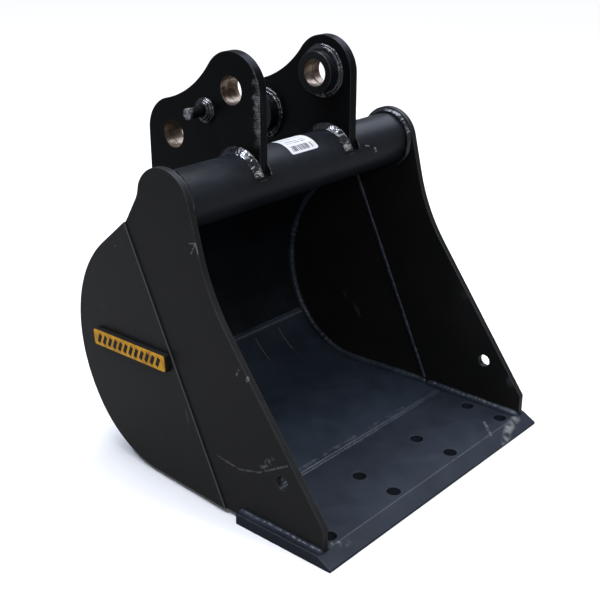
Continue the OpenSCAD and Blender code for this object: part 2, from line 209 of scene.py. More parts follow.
bpy.ops.object.select_all(action="DESELECT")
bpy.ops.mesh.primitive_plane_add(size=FLOOR_SIZE, location=(0, 0, ground))
floor = bpy.context.object
floor.name = "studio_floor"
floor_paint, tree = new_material("matt white studio floor")
tone = eye_only(tree, 0.25, 0.85)
grey = add(tree, "CombineColor", {"Red": tone, "Green": tone, "Blue": tone})
add(tree, "OutputMaterial", {"Surface": add(tree, "BsdfDiffuse", {"Color": grey})})
floor.data.materials.append(floor_paint)
floor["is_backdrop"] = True

world = bpy.data.worlds.new("dim studio")
bpy.context.scene.world = world
world.use_nodes = True
backdrop = world.node_tree.nodes["Background"]
backdrop.inputs["Color"].default_value = srgb("#e8eef8")
world.node_tree.links.new(eye_only(world.node_tree, 0.24, 1.6), backdrop.inputs["Strength"])

sky_data = bpy.data.lights.new("sky", "SUN")
sky_data.energy = SKY_STRENGTH
sky_data.angle = SKY_SPREAD
sky_lamp = bpy.data.objects.new("sky", sky_data)
bpy.context.scene.collection.objects.link(sky_lamp)

lamp("overhead", (0.2, 0.3, 2.4), 1.6, 18, "#e4eeff")
lamp("right_sky", (1.9, 0.2, 2.1), 1.7, 30, "#dfe9ff")
lamp("front_left", (-2.4, -2.2, 1.6), 0.9, 14, "#ffffff")
lamp("front_spark", (0.4, -2.6, 1.9), 0.3, 18, "#eef2ff")
lamp("left_spark", (-1.4, 0.9, 2.3), 0.3, 34, "#dde6ff")
print("lamps and floor are in place, ground at", round(ground, 3))

# %% [markdown]
# ## The line of the rolled shell
# The floor and back are rolled plate: a flat, two bends and a straight run that meets the tube. The
# welds along them need the same line, at any height inside or outside the outer face.


# %% Draw the shell's line
def polar(centre, r, degrees):
    """A point r from a centre in the side view, as a vector of Y and Z."""
    return centre + r * Vector((math.cos(math.radians(degrees)), math.sin(math.radians(degrees))))


low_deg = math.degrees(low_bend)
run_deg = low_deg + math.degrees(back_bend)
low_centre = Vector((floor_end_y, floor_under + low_bend_r))
back_centre = polar(polar(low_centre, low_bend_r, low_deg - 90), -back_bend_r, low_deg - 90)
run_start = polar(back_centre, back_bend_r, run_deg - 90)
run_along = polar(Vector((0, 0)), 1, run_deg)
run_out = polar(Vector((0, 0)), 1, run_deg - 90)
tube_flat = Vector((tube_centre.y, tube_centre.z))
run_length = (tube_flat - run_start).dot(run_along)
tube_inset = -(tube_flat - run_start).dot(run_out)


def on_run(along, height):
    """A point on the straight run, a height over its outer face."""
    return run_start + along * run_along + height * run_out


def bend(centre, r, start, end, count):
    """Points of a bend from one angle to another, both ends included."""
    return [polar(centre, r, start + (end - start) * i / count) for i in range(count + 1)]


def shell_line(height, start_y, run):
    """The shell's line from start_y on the floor to run on the straight, a height outwards."""
    low = bend(low_centre, low_bend_r + height, -90, low_deg - 90, 24)
    back = bend(back_centre, back_bend_r + height, low_deg - 90, run_deg - 90, 36)
    return [Vector((start_y, floor_under - height))] + low + back + [on_run(run, height)]


def run_to_tube(height):
    """How far up the run its face at that height meets the tube."""
    return run_length - math.sqrt(tube_r ** 2 - (tube_inset + height) ** 2)


edge_back = edge_high.y
seam_low = Vector((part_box("side_plate_rear_right")[0].y, floor_under))
seam_high = on_run(seam_run, 0)
seam_along = (seam_high - seam_low).normalized()
seam_behind = Vector((seam_along.y, -seam_along.x))
seam_at_floor = seam_low + seam_along * shell_t / seam_along.y
rear_in = side_in + seam_step
print("seam from", tuple(round(v, 4) for v in seam_low), "to", tuple(round(v, 4) for v in seam_high))


def toed_x(point):
    """Where the inner face of the leaning rear plate stands at a point of the side view."""
    return rear_in - max(0, (point - seam_low).dot(seam_behind)) * math.tan(toe)


# %% [markdown]
# ## Black paint
# The bucket is sprayed with one thick coat of black alkyd enamel over rolled plate. Enamel has an
# index of refraction of about 1.5 and dries to a satin shine. What the eye picks up is the fine
# orange peel, the slow waves of rolled plate under it, a veil of dust where it faces up, thin
# handling scratches, and small chips along the cut edges. Every layer here is one of those, and
# besides them a thin lighter line along every edge is a painted highlight.


# %% The enamel, layer by layer
def enamel(name, colour, light, roughness, gloss=0.22, peel=1.0, chips=0.3, dust=0.1, marks=None):
    """Sprayed enamel. colour and light are its two tones, gloss is the specular level, peel, chips
    and dust are from 0 to 1, and marks is a function that adds masks of damage and of painted
    highlight to the tree."""
    made, tree = new_material(name)
    place = add(tree, "TexCoord", give="Object")

    # Slow tone changes in the coat, 70 mm across.
    mottle = add(tree, "TexNoise", {"Vector": place, "Scale": 1 / 0.070, "Detail": 3.0}, give="Fac")
    tone = add(tree, "MapRange", {"Value": mottle, "From Min": 0.35, "From Max": 0.70}, give="Result")
    coat = add(tree, "Mix", {"Factor": tone, "A": srgb(colour), "B": srgb(light)}, data_type="RGBA")

    # Dust settles on what faces up, in patches 30 mm across.
    up = add(tree, "SeparateXYZ", {"Vector": add(tree, "NewGeometry", give="Normal")}, give="Z")
    facing = add(tree, "MapRange", {"Value": up, "From Min": 0.1, "From Max": 1.0}, give="Result")
    patch = add(tree, "TexNoise", {"Vector": place, "Scale": 1 / 0.030, "Detail": 6.0}, give="Fac")
    veil = add(tree, "MapRange", {"Value": patch, "From Min": 0.42, "From Max": 0.75, "To Max": dust},
               give="Result")
    dusty = add(tree, "Math", {"Value": veil, "Value_001": facing}, operation="MULTIPLY")
    coat = add(tree, "Mix", {"Factor": dusty, "A": coat, "B": srgb("#565b63")}, data_type="RGBA")

    # Handling scratches: noise drawn out 60 times along one direction, lines about 1 mm wide.
    drawn = add(tree, "Mapping", {"Vector": place, "Rotation": (0.5, 0.3, 0.9), "Scale": (900, 15, 15)})
    line = add(tree, "TexNoise", {"Vector": drawn, "Scale": 1.0, "Detail": 1.0}, give="Fac")
    scratch = add(tree, "MapRange", {"Value": line, "From Min": 0.74, "From Max": 0.80}, give="Result")
    thin = add(tree, "Math", {"Value": scratch, "Value_001": 0.15}, operation="MULTIPLY")
    coat = add(tree, "Mix", {"Factor": thin, "A": coat, "B": srgb("#7c8187")}, data_type="RGBA")

    # Chips 6 mm across sit on cut edges, found where a rounded normal leaves the true one.
    soft = add(tree, "Bevel", {"Radius": 1.8 * MM}, give="Normal", samples=4)
    true = add(tree, "NewGeometry", give="Normal")
    flat = add(tree, "VectorMath", {"Vector": soft, "Vector_001": true}, operation="DOT_PRODUCT",
               give="Value")
    near_edge = add(tree, "MapRange", {"Value": flat, "From Min": 0.985, "From Max": 0.90}, give="Result")
    crumb = add(tree, "TexNoise", {"Vector": place, "Scale": 1 / 0.006, "Detail": 4.0}, give="Fac")
    limit = 0.78 - 0.18 * chips
    broken = add(tree, "MapRange", {"Value": crumb, "From Min": limit, "From Max": limit + 0.05},
                 give="Result")
    chip_and_sheen = add(tree, "Math", {"Value": near_edge, "Value_001": broken}, operation="MULTIPLY")
    # Every edge also gets a thin lighter line, a painted highlight for the sheen that rounded edges catch.
    sheen_and_wear = add(tree, "Math", {"Value": near_edge, "Value_001": 0.10 + 0.10 * chips}, operation="MULTIPLY")
    coat = add(tree, "Mix", {"Factor": sheen_and_wear, "A": coat, "B": srgb("#8f9296")}, data_type="RGBA")

    # Local damage is added on top of the chips, and so are the painted highlight lines among the marks.
    if marks is not None:
        chip_and_sheen = add(tree, "Math", {"Value": chip_and_sheen, "Value_001": marks(tree, place)}, operation="MAXIMUM")
    coat = add(tree, "Mix", {"Factor": chip_and_sheen, "A": coat, "B": srgb("#98999a")}, data_type="RGBA")

    # Shine changes a little with the tone, and dust and chips are dull.
    satin = add(tree, "MapRange", {"Value": mottle, "To Min": roughness - 0.05, "To Max": roughness + 0.07},
                give="Result")
    dull = add(tree, "Math", {"Value": dusty, "Value_001": chip_and_sheen}, operation="MAXIMUM")
    rough = add(tree, "Mix", {"Factor": dull, "A": satin, "B": 0.75}, data_type="FLOAT")

    # Real orange peel is about 2 mm wide. It is drawn 5 mm wide so that it shows, over 80 mm waves
    # of the plate.
    peeling = add(tree, "TexNoise", {"Vector": place, "Scale": 1 / 0.005, "Detail": 1.0}, give="Fac")
    waves = add(tree, "TexNoise", {"Vector": place, "Scale": 1 / 0.080, "Detail": 1.0}, give="Fac")
    bump = add(tree, "Bump", {"Height": waves, "Strength": 0.12, "Distance": 1.5 * MM}, give="Normal")
    bump = add(tree, "Bump", {"Height": peeling, "Strength": 0.35 * peel, "Distance": 0.25 * MM,
                              "Normal": bump}, give="Normal")
    bump = add(tree, "Bump", {"Height": chip_and_sheen, "Strength": 0.5, "Distance": 0.2 * MM, "Normal": bump},
               give="Normal", invert=True)
    shader = add(tree, "BsdfPrincipled", {"Base Color": coat, "Roughness": rough, "IOR": 1.5,
                                          "Specular IOR Level": gloss, "Normal": bump})
    add(tree, "OutputMaterial", {"Surface": shader})
    return made


# %% [markdown]
# ## Local damage and painted highlight lines
# The general coat is the same everywhere, but a used demonstrator has its own marks: a chalky rub
# where the ear's front edge slid on a strap, hand-drawn scratches on the side, scuffs on the ends
# of the lip. Three lines are painted highlights instead: along the proud edge of the rear plate's
# seam, along the crease of the lip's bevel and beside the joint in the floor. A short line of damage
# or of painted highlight is a distance to a segment, broken up by fine noise.


# %% Masks for scratches and rubs
def line_mask(tree, place, start, end, width, crumble=0.5, strength=0.6, grain=4.0):
    """One on the line from start to end, nought further off than width, broken by grain in mm."""
    along = Vector(end) - Vector(start)
    rel = add(tree, "VectorMath", {"Vector": place, "Vector_001": tuple(start)}, operation="SUBTRACT",
              give="Vector")
    share = add(tree, "VectorMath", {"Vector": rel, "Vector_001": tuple(along / along.length_squared)},
                operation="DOT_PRODUCT", give="Value")
    held = add(tree, "Clamp", {"Value": share}, give="Result")
    foot = add(tree, "VectorMath", {"Vector": tuple(along), "Scale": held}, operation="SCALE", give="Vector")
    off = add(tree, "VectorMath", {"Vector": rel, "Vector_001": foot}, operation="DISTANCE", give="Value")
    core = add(tree, "MapRange", {"Value": off, "From Min": width, "From Max": width * 0.4}, give="Result")
    fine = add(tree, "TexNoise", {"Vector": place, "Scale": 1 / (grain * MM), "Detail": 4.0,
                                  "Distortion": 0.6}, give="Fac")
    gaps = add(tree, "MapRange", {"Value": fine, "From Min": crumble - 0.08, "From Max": crumble + 0.08,
                                  "To Max": strength}, give="Result")
    return add(tree, "Math", {"Value": core, "Value_001": gaps}, operation="MULTIPLY")


def all_of(tree, masks):
    """The strongest of several masks."""
    total = masks[0]
    for mask in masks[1:]:
        total = add(tree, "Math", {"Value": total, "Value_001": mask}, operation="MAXIMUM")
    return total


def lines(*runs):
    """A marks function for lines through points. Each run is (points, width, crumble, strength)
    and may end with the grain."""
    def draw(tree, place):
        return all_of(tree, [line_mask(tree, place, a, b, *finish)
                             for points, *finish in runs for a, b in zip(points, points[1:])])
    return draw


def ear_rub(tree, place):
    """A chalky rub with level streaks on the left ear's outer face, along its front edge."""
    # Streaks 1 mm high and 11 to 17 mm long.
    drawn = add(tree, "Mapping", {"Vector": place, "Scale": (60, 90, 900), "Rotation": (0.25, 0, 0)})
    streak = add(tree, "TexNoise", {"Vector": drawn, "Scale": 1.0, "Detail": 6.0, "Distortion": 1.2},
                 give="Fac")
    streak = add(tree, "MapRange", {"Value": streak, "From Min": 0.36, "From Max": 0.62, "To Max": 0.85},
                 give="Result")
    # The rub's back limit wanders between 26 and 55 mm in front of the pin, in 12 mm waves.
    broad = add(tree, "TexNoise", {"Vector": place, "Scale": 1 / 0.012, "Detail": 8.0, "Roughness": 0.7},
                give="Fac")
    reach = add(tree, "MapRange", {"Value": broad, "From Min": 0.30, "From Max": 0.70,
                                   "To Min": -55 * MM, "To Max": -26 * MM}, give="Result")
    at = {axis: add(tree, "SeparateXYZ", {"Vector": place}, give=axis) for axis in "XYZ"}
    depth = add(tree, "Math", {"Value": reach, "Value_001": at["Y"]}, operation="SUBTRACT")
    mask = add(tree, "MapRange", {"Value": depth, "From Max": 20 * MM}, give="Result")
    # It fades out behind the outer face and at both ends of the edge.
    fades = (("X", -ear_out + 2 * MM, -ear_out + 0.8 * MM),
             ("Z", -75 * MM, -50 * MM), ("Z", 45 * MM, 20 * MM))
    for axis, empty, full in fades:
        edge = add(tree, "MapRange", {"Value": at[axis], "From Min": empty, "From Max": full},
                   give="Result")
        mask = add(tree, "Math", {"Value": mask, "Value_001": edge}, operation="MULTIPLY")
    return add(tree, "Math", {"Value": mask, "Value_001": streak}, operation="MULTIPLY")


# %% [markdown]
# Each mark is a line of points on a plate's face with its width, how broken it is (more is
# sparser), how strong, and the grain that breaks it in millimetres.

# %% Place the marks
OUT = -side_out
PROUD = -rear_in - (side_out - side_in)
side_marks = lines(
    ([(OUT, -0.100, -0.468), (OUT, -0.143, -0.473), (OUT, -0.180, -0.463), (OUT, -0.230, -0.433)],
     1.8 * MM, 0.48, 0.30),
    ([(OUT, -0.182, -0.455), (OUT, -0.205, -0.436)], 7.0 * MM, 0.56, 0.35, 7.0),
    ([(OUT, -0.065, -0.181), (OUT, -0.073, -0.165), (OUT, -0.078, -0.180)], 1.3 * MM, 0.42, 0.50),
    ([(OUT, -0.062, -0.168), (OUT, -0.074, -0.165)], 1.0 * MM, 0.45, 0.45),
    ([(OUT, -0.142, -0.331), (OUT, -0.146, -0.322)], 2.2 * MM, 0.50, 0.40),
    ([(OUT, -0.161, -0.332), (OUT, -0.167, -0.322)], 4.0 * MM, 0.50, 0.45))
rear_scratch_and_seam_highlight = lines(
    ([(OUT, 0.084, -0.203), (OUT, 0.091, -0.207)], 1.1 * MM, 0.42, 0.35),
    # The line along the proud edge of the rear plate's seam is a painted highlight, for the light that edge
    # catches.
    ([(PROUD, *seam_low), (PROUD, *seam_high)], 2.2 * MM, 0.22, 0.20))
lip_scuffs_and_crease_highlight = lines(
    ([(0.165, -0.316, edge_top - 8 * MM), (0.196, -0.300, edge_top - 3 * MM), (0.234, -0.292, edge_top)],
     9 * MM, 0.47, 0.42, 14.0),
    ([(0.150, -0.300, edge_top), (0.186, -0.262, edge_top)], 3.0 * MM, 0.50, 0.20, 8.0),
    ([(-0.224, -0.290, edge_top), (-0.200, -0.304, edge_top)], 7.0 * MM, 0.55, 0.40, 8.0),
    # The thin line along the crease between the lip's top and its bevel is a painted highlight.
    ([(-0.25, -0.290, edge_top), (0.25, -0.290, edge_top)], 1.3 * MM, 0.40, 0.10),
    ([(-0.15, edge_back, edge_top), (0.08, edge_back, edge_top)], 9.0 * MM, 0.56, 0.14, 12.0))
PRESS = low_bend_r - shell_t
press_marks_and_joint_highlight = lines(
    *[([(x, *polar(low_centre, PRESS, a - 90)) for a in (34, 40, 46, 51)], 1.3 * MM, 0.30, 0.22)
      for x in (0.091, 0.151)],
    ([(-0.2, edge_back + 9 * MM, edge_top), (0.14, edge_back + 9 * MM, edge_top)],
     5.0 * MM, 0.55, 0.10, 14.0),
    # The line across the floor beside the shell's joint is a painted highlight of the joint's edge.
    ([(-0.23, *polar(low_centre, PRESS, low_deg - 92)), (0.23, *polar(low_centre, PRESS, low_deg - 92))],
     3.0 * MM, 0.40, 0.18))
tube_marks = lines(([(0.153, -0.054, -0.121), (0.156, -0.053, -0.127)], 2.8 * MM, 0.48, 0.8),
                   ([(0.132, -0.051, -0.113), (0.140, -0.052, -0.115)], 1.2 * MM, 0.45, 0.6))
stub_end = mounts["pin_lock_shank"]["pos_m"]
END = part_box("pin_lock_stub")[0].x
stub_marks = lines(([(END, stub_end[1], stub_end[2] - 3 * MM), (END, stub_end[1], stub_end[2] + 5 * MM)],
                    9.0 * MM, 0.46, 0.85))

print(len((side_marks, rear_scratch_and_seam_highlight, lip_scuffs_and_crease_highlight, press_marks_and_joint_highlight, tube_marks, stub_marks)), "sets of marks")

# %% [markdown]
# ## The paints
# The plates were sprayed at different distances, so each gets its own shine. Paint pools in the
# corners, which makes the welds the glossiest parts of all. The tones are partly painted light: the
# blue-grey slate of the floor, the lip and the welds inside the bowl and along the lip is a painted
# reflection of the pale sky in black enamel, the rear plates are painted a little lighter for the
# light they catch, the ears darker for the dark they reflect, and the inside of the bowl darker for
# its shade.

# %% Mix the paints
side_paint = enamel("black enamel on the front side plates", "#181817", "#1c1b1a", 0.40, marks=side_marks)
# The rear plates are painted a little lighter than the front ones: painted light for the light their leaning
# faces catch.
rear_paint = enamel("black enamel on the rear side plates", "#1a1a19", "#1f1e1d", 0.42, marks=rear_scratch_and_seam_highlight)
# The ears are painted darker than the plates: painted shade for the dark surroundings they reflect.
ear_paint = enamel("black enamel on the ears", "#070809", "#0a0b0c", 0.32, gloss=0.09, marks=ear_rub)
boss_paint = enamel("black enamel on the bosses", "#090a0c", "#0e0f12", 0.28, gloss=0.3)
stub_paint = enamel("black enamel on the stub", "#0b0c0e", "#101114", 0.30, gloss=0.3, marks=stub_marks)
# The back shell is painted darker than the side plates: painted shade for the inside of the bowl.
inside_paint = enamel("black enamel inside the bowl", "#0c0e10", "#111418", 0.36)
# The blue-grey slate tone of the floor and the lip is a painted reflection of the pale sky in the black
# enamel that faces up.
bowl_paint_with_painted_sky = enamel("black enamel on the floor with a painted sky reflection", "#1f262f", "#252d38", 0.40, gloss=0.26, chips=0.1,
                    dust=0.07, marks=press_marks_and_joint_highlight)
lip_paint_with_painted_sky = enamel("slate enamel on the cutting edge", "#1b2028", "#20262f", 0.42, gloss=0.18, chips=0.4,
                   dust=0.06, marks=lip_scuffs_and_crease_highlight)
tube_paint = enamel("black enamel on the rolled tube", "#101216", "#161a20", 0.42, gloss=0.24, peel=0.5,
                    marks=tube_marks)
weld_coat = enamel("glossy enamel pooled on weld metal", "#0d0e12", "#171a20", 0.17, gloss=0.85,
                   peel=0.6, chips=0.0, dust=0.03)
# The slate tone of the welds inside the bowl and along the lip is the same painted sky reflection.
weld_coat_with_painted_sky = enamel("glossy enamel on weld metal with a painted sky reflection", "#1f252e", "#343c47", 0.30, gloss=0.35,
                    peel=0.6, chips=0.0, dust=0.08)
print(len(bpy.data.materials), "materials so far")

# %% [markdown]
# ## Bare steel in the bores
# The pin bores are line-bored after welding, so their walls are bare turned steel with a brown film
# of oil and flash rust. Fine rings from the boring bar run around them.

# %% Mix the bored steel
bore_steel, tree = new_material("line-bored steel with flash rust")
place = add(tree, "TexCoord", give="Object")
rust = add(tree, "TexNoise", {"Vector": place, "Scale": 1 / 0.012, "Detail": 5.0}, give="Fac")
rusty = add(tree, "MapRange", {"Value": rust, "From Min": 0.40, "From Max": 0.65}, give="Result")
bare = add(tree, "Mix", {"Factor": rusty, "A": srgb("#9a8a7a"), "B": srgb("#5f4936")}, data_type="RGBA")
shine = add(tree, "MapRange", {"Value": rusty, "To Min": 0.28, "To Max": 0.6}, give="Result")
# The boring bar leaves a ring each 0.2 mm, drawn 1.5 mm apart so that it shows.
rings = add(tree, "TexWave", {"Vector": place, "Scale": 1 / 0.0015 / 20, "Distortion": 0.6}, give="Fac",
            bands_direction="X")
cut = add(tree, "Bump", {"Height": rings, "Strength": 0.4, "Distance": 0.1 * MM}, give="Normal")
add(tree, "OutputMaterial", {"Surface": add(tree, "BsdfPrincipled", {
    "Base Color": bare, "Metallic": 0.85, "Roughness": shine, "Normal": cut})})

# %% [markdown]
# ## Plates with softened edges
# A cut plate never has a sharp corner once it is ground and painted: the enamel rounds it to about
# a millimetre, and that rounding is the thin bright line along every edge, helped by a painted
# highlight line in the enamel. Each plate here is a copy of its frame node, because the node itself
# stays exact. The copy's loose triangles are merged, flat areas are cleaned to single faces, and a
# bevel rounds the edges.


# %% Round a copy of a node
MERGE = 0.01 * MM
FLAT = math.radians(0.6)
SHARP = math.radians(32)


def steel(name, paint, round_off=0.9 * MM):
    """A copy of a CAD node with merged faces and rounded edges, painted."""
    bpy.ops.object.select_all(action="DESELECT")
    made = bpy.data.objects.new("painted_" + name, frame["nodes"][name].data.copy())
    bpy.context.scene.collection.objects.link(made)
    bpy.context.view_layer.objects.active = made
    made.select_set(True)
    bpy.ops.object.mode_set(mode="EDIT")
    bpy.ops.mesh.select_all(action="SELECT")
    bpy.ops.mesh.remove_doubles(threshold=MERGE)
    bpy.ops.mesh.dissolve_limited(angle_limit=FLAT)
    bpy.ops.object.mode_set(mode="OBJECT")
    bpy.ops.object.shade_smooth_by_angle(angle=SHARP)
    modify(made, "edge", "BEVEL", width=round_off, segments=3, limit_method="ANGLE", angle_limit=SHARP,
           harden_normals=True)
    made.data.materials.clear()
    made.data.materials.append(paint)
    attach(made, "root")
    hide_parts(name)
    return made


# %% Paint the plates
coats = {
    "side_plate_front_left": (side_paint,), "side_plate_front_right": (side_paint,),
    "side_plate_rear_left": (rear_paint,), "side_plate_rear_right": (rear_paint,),
    "floor_shell": (bowl_paint_with_painted_sky,), "cutting_edge": (lip_paint_with_painted_sky,),
    "back_shell": (inside_paint,), "torque_tube": (tube_paint,),
    "ear_left": (ear_paint, 1.4 * MM), "ear_right": (ear_paint, 1.4 * MM),
    "boss_front_left": (boss_paint, 1.2 * MM), "boss_front_right": (boss_paint, 1.2 * MM),
    "boss_rear_left": (boss_paint, 1.2 * MM), "boss_rear_right": (boss_paint, 1.2 * MM),
    "pin_lock_stub": (stub_paint,)}
painted = {name: steel(name, *coat) for name, coat in coats.items()}
print(len(painted), "plates painted,", sum(len(p.data.vertices) for p in painted.values()), "vertices")

# %% [markdown]
# A face belongs to a bore when it lies within a hair of the bore's radius and faces the pin.

# %% Leave the bores bare
HAIR = 0.2 * MM
for name in [n for n in painted if n.startswith(("ear_", "boss_"))]:
    mesh = painted[name].data
    mesh.materials.append(bore_steel)
    bare_faces = 0
    for face in mesh.polygons:
        for pin in (front_pin, rear_pin):
            out = Vector((0, face.center.y - pin.y, face.center.z - pin.z))
            if out.length < pin_r + HAIR and abs(face.normal.x) < 0.3:
                face.material_index = 1
                bare_faces += 1
    print(name, bare_faces, "bare faces")

# %% [markdown]
# ## Weld beads
# Every corner of the bucket is closed by hand with a wire-fed gun. The puddle freezes in steps, so
# a bead is a rope with ripples 3 to 4 mm apart, and its width wanders with the hand. A path with a
# round section does this well: the section's radius swells and shrinks from point to point, and a
# small displacement breaks the last regularity. Half of the rope is buried in the corner.


# %% Lay a bead along a path
STEP = 1.3 * MM
RIPPLE = 3.6 * MM
SHAKE = 1.5 * MM
shaker = Random(7)
# Without a seed of its own, noise_vector takes one from the clock, and no two runs agree.
noise.seed_set(7)
lumps = bpy.data.textures.new("weld lumps", "CLOUDS")
lumps.noise_scale = 7 * MM


def resample(path, closed):
    """Points each STEP apart along a path of corners."""
    corners = [Vector(p) for p in path] + ([Vector(path[0])] if closed else [])
    made, left = [corners[0]], STEP
    for a, b in zip(corners, corners[1:]):
        length = (b - a).length
        while left <= length:
            made.append(a.lerp(b, left / length))
            left += STEP
        left -= length
    return made[:-1] if closed else made


def bead(name, node, runs, rough=1.0, coat=weld_coat):
    """Weld beads in one piece that stands for a weld node. Each run is (path, radius, closed), and
    rough says how lumpy they are."""
    curve = bpy.data.curves.new(name, "CURVE")
    curve.dimensions = "3D"
    curve.bevel_depth = 1.0
    curve.bevel_resolution = 2
    curve.use_fill_caps = True
    for path, radius, closed in runs:
        points = resample(path, closed)
        spline = curve.splines.new("POLY")
        spline.points.add(len(points) - 1)
        spline.use_cyclic_u = closed
        seed = Vector((shaker.uniform(-9, 9), shaker.uniform(-9, 9), shaker.uniform(-9, 9)))
        for i, point in enumerate(points):
            at = i * STEP
            ripple = 0.03 * math.cos(math.tau * at / RIPPLE) + 0.10 * noise.noise(point * 150 + seed)
            wide = 1 + rough * (ripple + 0.14 * noise.noise(point * 45 + seed))
            end = radius if closed else min(at, (len(points) - 1 - i) * STEP)
            taper = math.sqrt(max(0.05, 1 - (1 - min(1, end / radius)) ** 2))
            wander = noise.noise_vector(point * 35 + seed) * radius * 0.10 * rough
            spline.points[i].co = (*(point + wander), 1)
            spline.points[i].radius = radius * wide * taper
    made = bpy.data.objects.new(name, curve)
    bpy.context.scene.collection.objects.link(made)
    bpy.ops.object.select_all(action="DESELECT")
    bpy.context.view_layer.objects.active = made
    made.select_set(True)
    bpy.ops.object.convert(target="MESH")
    made = bpy.context.object
    bpy.ops.object.mode_set(mode="EDIT")
    bpy.ops.mesh.select_all(action="SELECT")
    bpy.ops.mesh.remove_doubles(threshold=MERGE)
    bpy.ops.mesh.normals_make_consistent(inside=False)
    bpy.ops.object.mode_set(mode="OBJECT")
    modify(made, "lumps", "DISPLACE", texture=lumps, strength=SHAKE * rough, mid_level=0.5)
    bpy.ops.object.shade_smooth()
    made.data.materials.clear()
    made.data.materials.append(coat)
    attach(made, "root")
    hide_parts(node)
    print(name, len(made.data.polygons), "faces")
    return made


def ring(centre, r, x, start=0, end=360):
    """Points of an arc about an X axis, degrees from +Y towards +Z."""
    count = max(8, round(abs(end - start) / 3))
    angles = [math.radians(start + (end - start) * i / count) for i in range(count + 1)]
    made = [(x, centre.y + r * math.cos(a), centre.z + r * math.sin(a)) for a in angles]
    return made[:-1] if abs(end - start) == 360 else made


# %% Weld the tube into the side plates
LEG = 8 * MM
INTO = 0.12 * LEG
ROUND = 0.85 * LEG
for side, sign in (("left", -1), ("right", 1)):
    around = ring(tube_centre, tube_r + INTO, sign * (side_in - INTO))
    bead("bead_tube_end_" + side, "weld_tube_end_" + side, [(around, ROUND, True)])

# %% [markdown]
# The ears carry the whole digging force, so their joint with the tube is a wide fillet in several
# passes, dressed smooth before paint. It is the CAD fillet with soft edges and low lumps. It fades
# out short of the ear's front edge.

# %% Dress the fillets of the ears
LAST = math.radians(162)
VOXEL = 1.1 * MM
cut_along = (0, -math.sin(LAST), math.cos(LAST))
for side in ("left", "right"):
    for where in ("outer", "inner"):
        name = "weld_ear_tube_" + where + "_" + side
        fillet = steel(name, weld_coat, 0.3 * MM)
        bpy.ops.object.mode_set(mode="EDIT")
        bpy.ops.mesh.select_all(action="SELECT")
        bpy.ops.mesh.bisect(plane_co=(0, tube_centre.y, tube_centre.z), plane_no=cut_along,
                            clear_outer=True, use_fill=True)
        bpy.ops.object.mode_set(mode="OBJECT")
        modify(fillet, "voxels", "REMESH", mode="VOXEL", voxel_size=VOXEL)
        modify(fillet, "soft", "SMOOTH", factor=0.5, iterations=6)
        modify(fillet, "low lumps", "DISPLACE", texture=lumps, strength=1.6 * MM, mid_level=0.4)
        bpy.ops.object.shade_smooth()
        print(name, len(fillet.data.polygons), "faces")

# %% Weld the bosses to the ears in two passes
for side, sign in (("left", -1), ("right", 1)):
    for end, pin in (("front", front_pin), ("rear", rear_pin)):
        runs = [(ring(pin, boss_r + 1.5 * MM, sign * (ear_in - 1.5 * MM)), 4.6 * MM, True),
                (ring(pin, boss_r + 5.4 * MM, sign * (ear_in - 0.2 * MM)), 3.6 * MM, True)]
        bead("bead_boss_" + end + "_" + side, "weld_boss_" + end + "_" + side, runs, rough=1.8)

# %% Weld the shell to the side plates
foot_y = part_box("weld_edge_inner_right")[0].y
for side, sign in (("left", -1), ("right", 1)):
    inner = shell_line(-shell_t - INTO, seam_at_floor.x, seam_run - LEG)
    path = [(sign * (toed_x(p) - INTO), p.x, p.y) for p in inner]
    bead("bead_shell_" + side, "weld_shell_side_" + side, [(path, ROUND, False)], rough=1.2, coat=weld_coat_with_painted_sky)

    corner = [(sign * (side_in - INTO), y, edge_top + INTO) for y in (foot_y, seam_at_floor.x)]
    bead("bead_edge_inner_" + side, "weld_edge_inner_" + side, [(corner, ROUND, False)], coat=weld_coat_with_painted_sky)

    corner = [(sign * (side_out + INTO), y, edge_top + INTO) for y in (foot_y, edge_back)]
    bead("bead_edge_outer_" + side, "weld_edge_outer_" + side, [(corner, 5.4 * MM, False)], coat=weld_coat_with_painted_sky)

    low = seam_at_floor + seam_along * LEG + seam_behind * 1.2 * MM
    high = seam_high - seam_along * 2 * LEG + seam_behind * 1.2 * MM
    seam = [(sign * (side_in + 1.5 * MM), p.x, p.y) for p in (low, high)]
    bead("bead_seam_" + side, "weld_side_seam_" + side, [(seam, 4.2 * MM, False)], rough=1.2, coat=weld_coat_with_painted_sky)

# %% Weld the floor joints flat
inside = side_in - LEG
deep = edge_top - 3.3 * MM
flat = [([(-inside, edge_back + dy, deep), (inside, edge_back + dy, deep)], 4.4 * MM, False)
        for dy in (-2.9 * MM, 2.9 * MM)]
bead("bead_edge_floor", "weld_edge_floor", flat, rough=0.5, coat=weld_coat_with_painted_sky)

joint = polar(low_centre, low_bend_r - shell_t + 2.4 * MM, low_deg - 90)
half = toed_x(joint) - LEG
path = [(-half, joint.x, joint.y), (half, joint.x, joint.y)]
bead("bead_shell_joint", "weld_shell_joint", [(path, 4.0 * MM, False)], rough=0.5, coat=weld_coat_with_painted_sky)

# %% Weld the back plate to the tube and the ears
under = on_run(run_to_tube(-shell_t), -shell_t - INTO)
bead("bead_tube_inner", "weld_tube_shell_inner",
     [([(-inside, under.x, under.y), (inside, under.x, under.y)], ROUND, False)])

over = on_run(run_to_tube(0) - INTO, INTO)
gap = 11 * MM
spans = [(-ear_in + gap, ear_in - gap), (ear_out + gap, inside), (-inside, -ear_out - gap)]
bead("bead_tube_outer", "weld_tube_shell_outer",
     [([(a, over.x, over.y), (b, over.x, over.y)], 0.9 * ROUND, False) for a, b in spans])

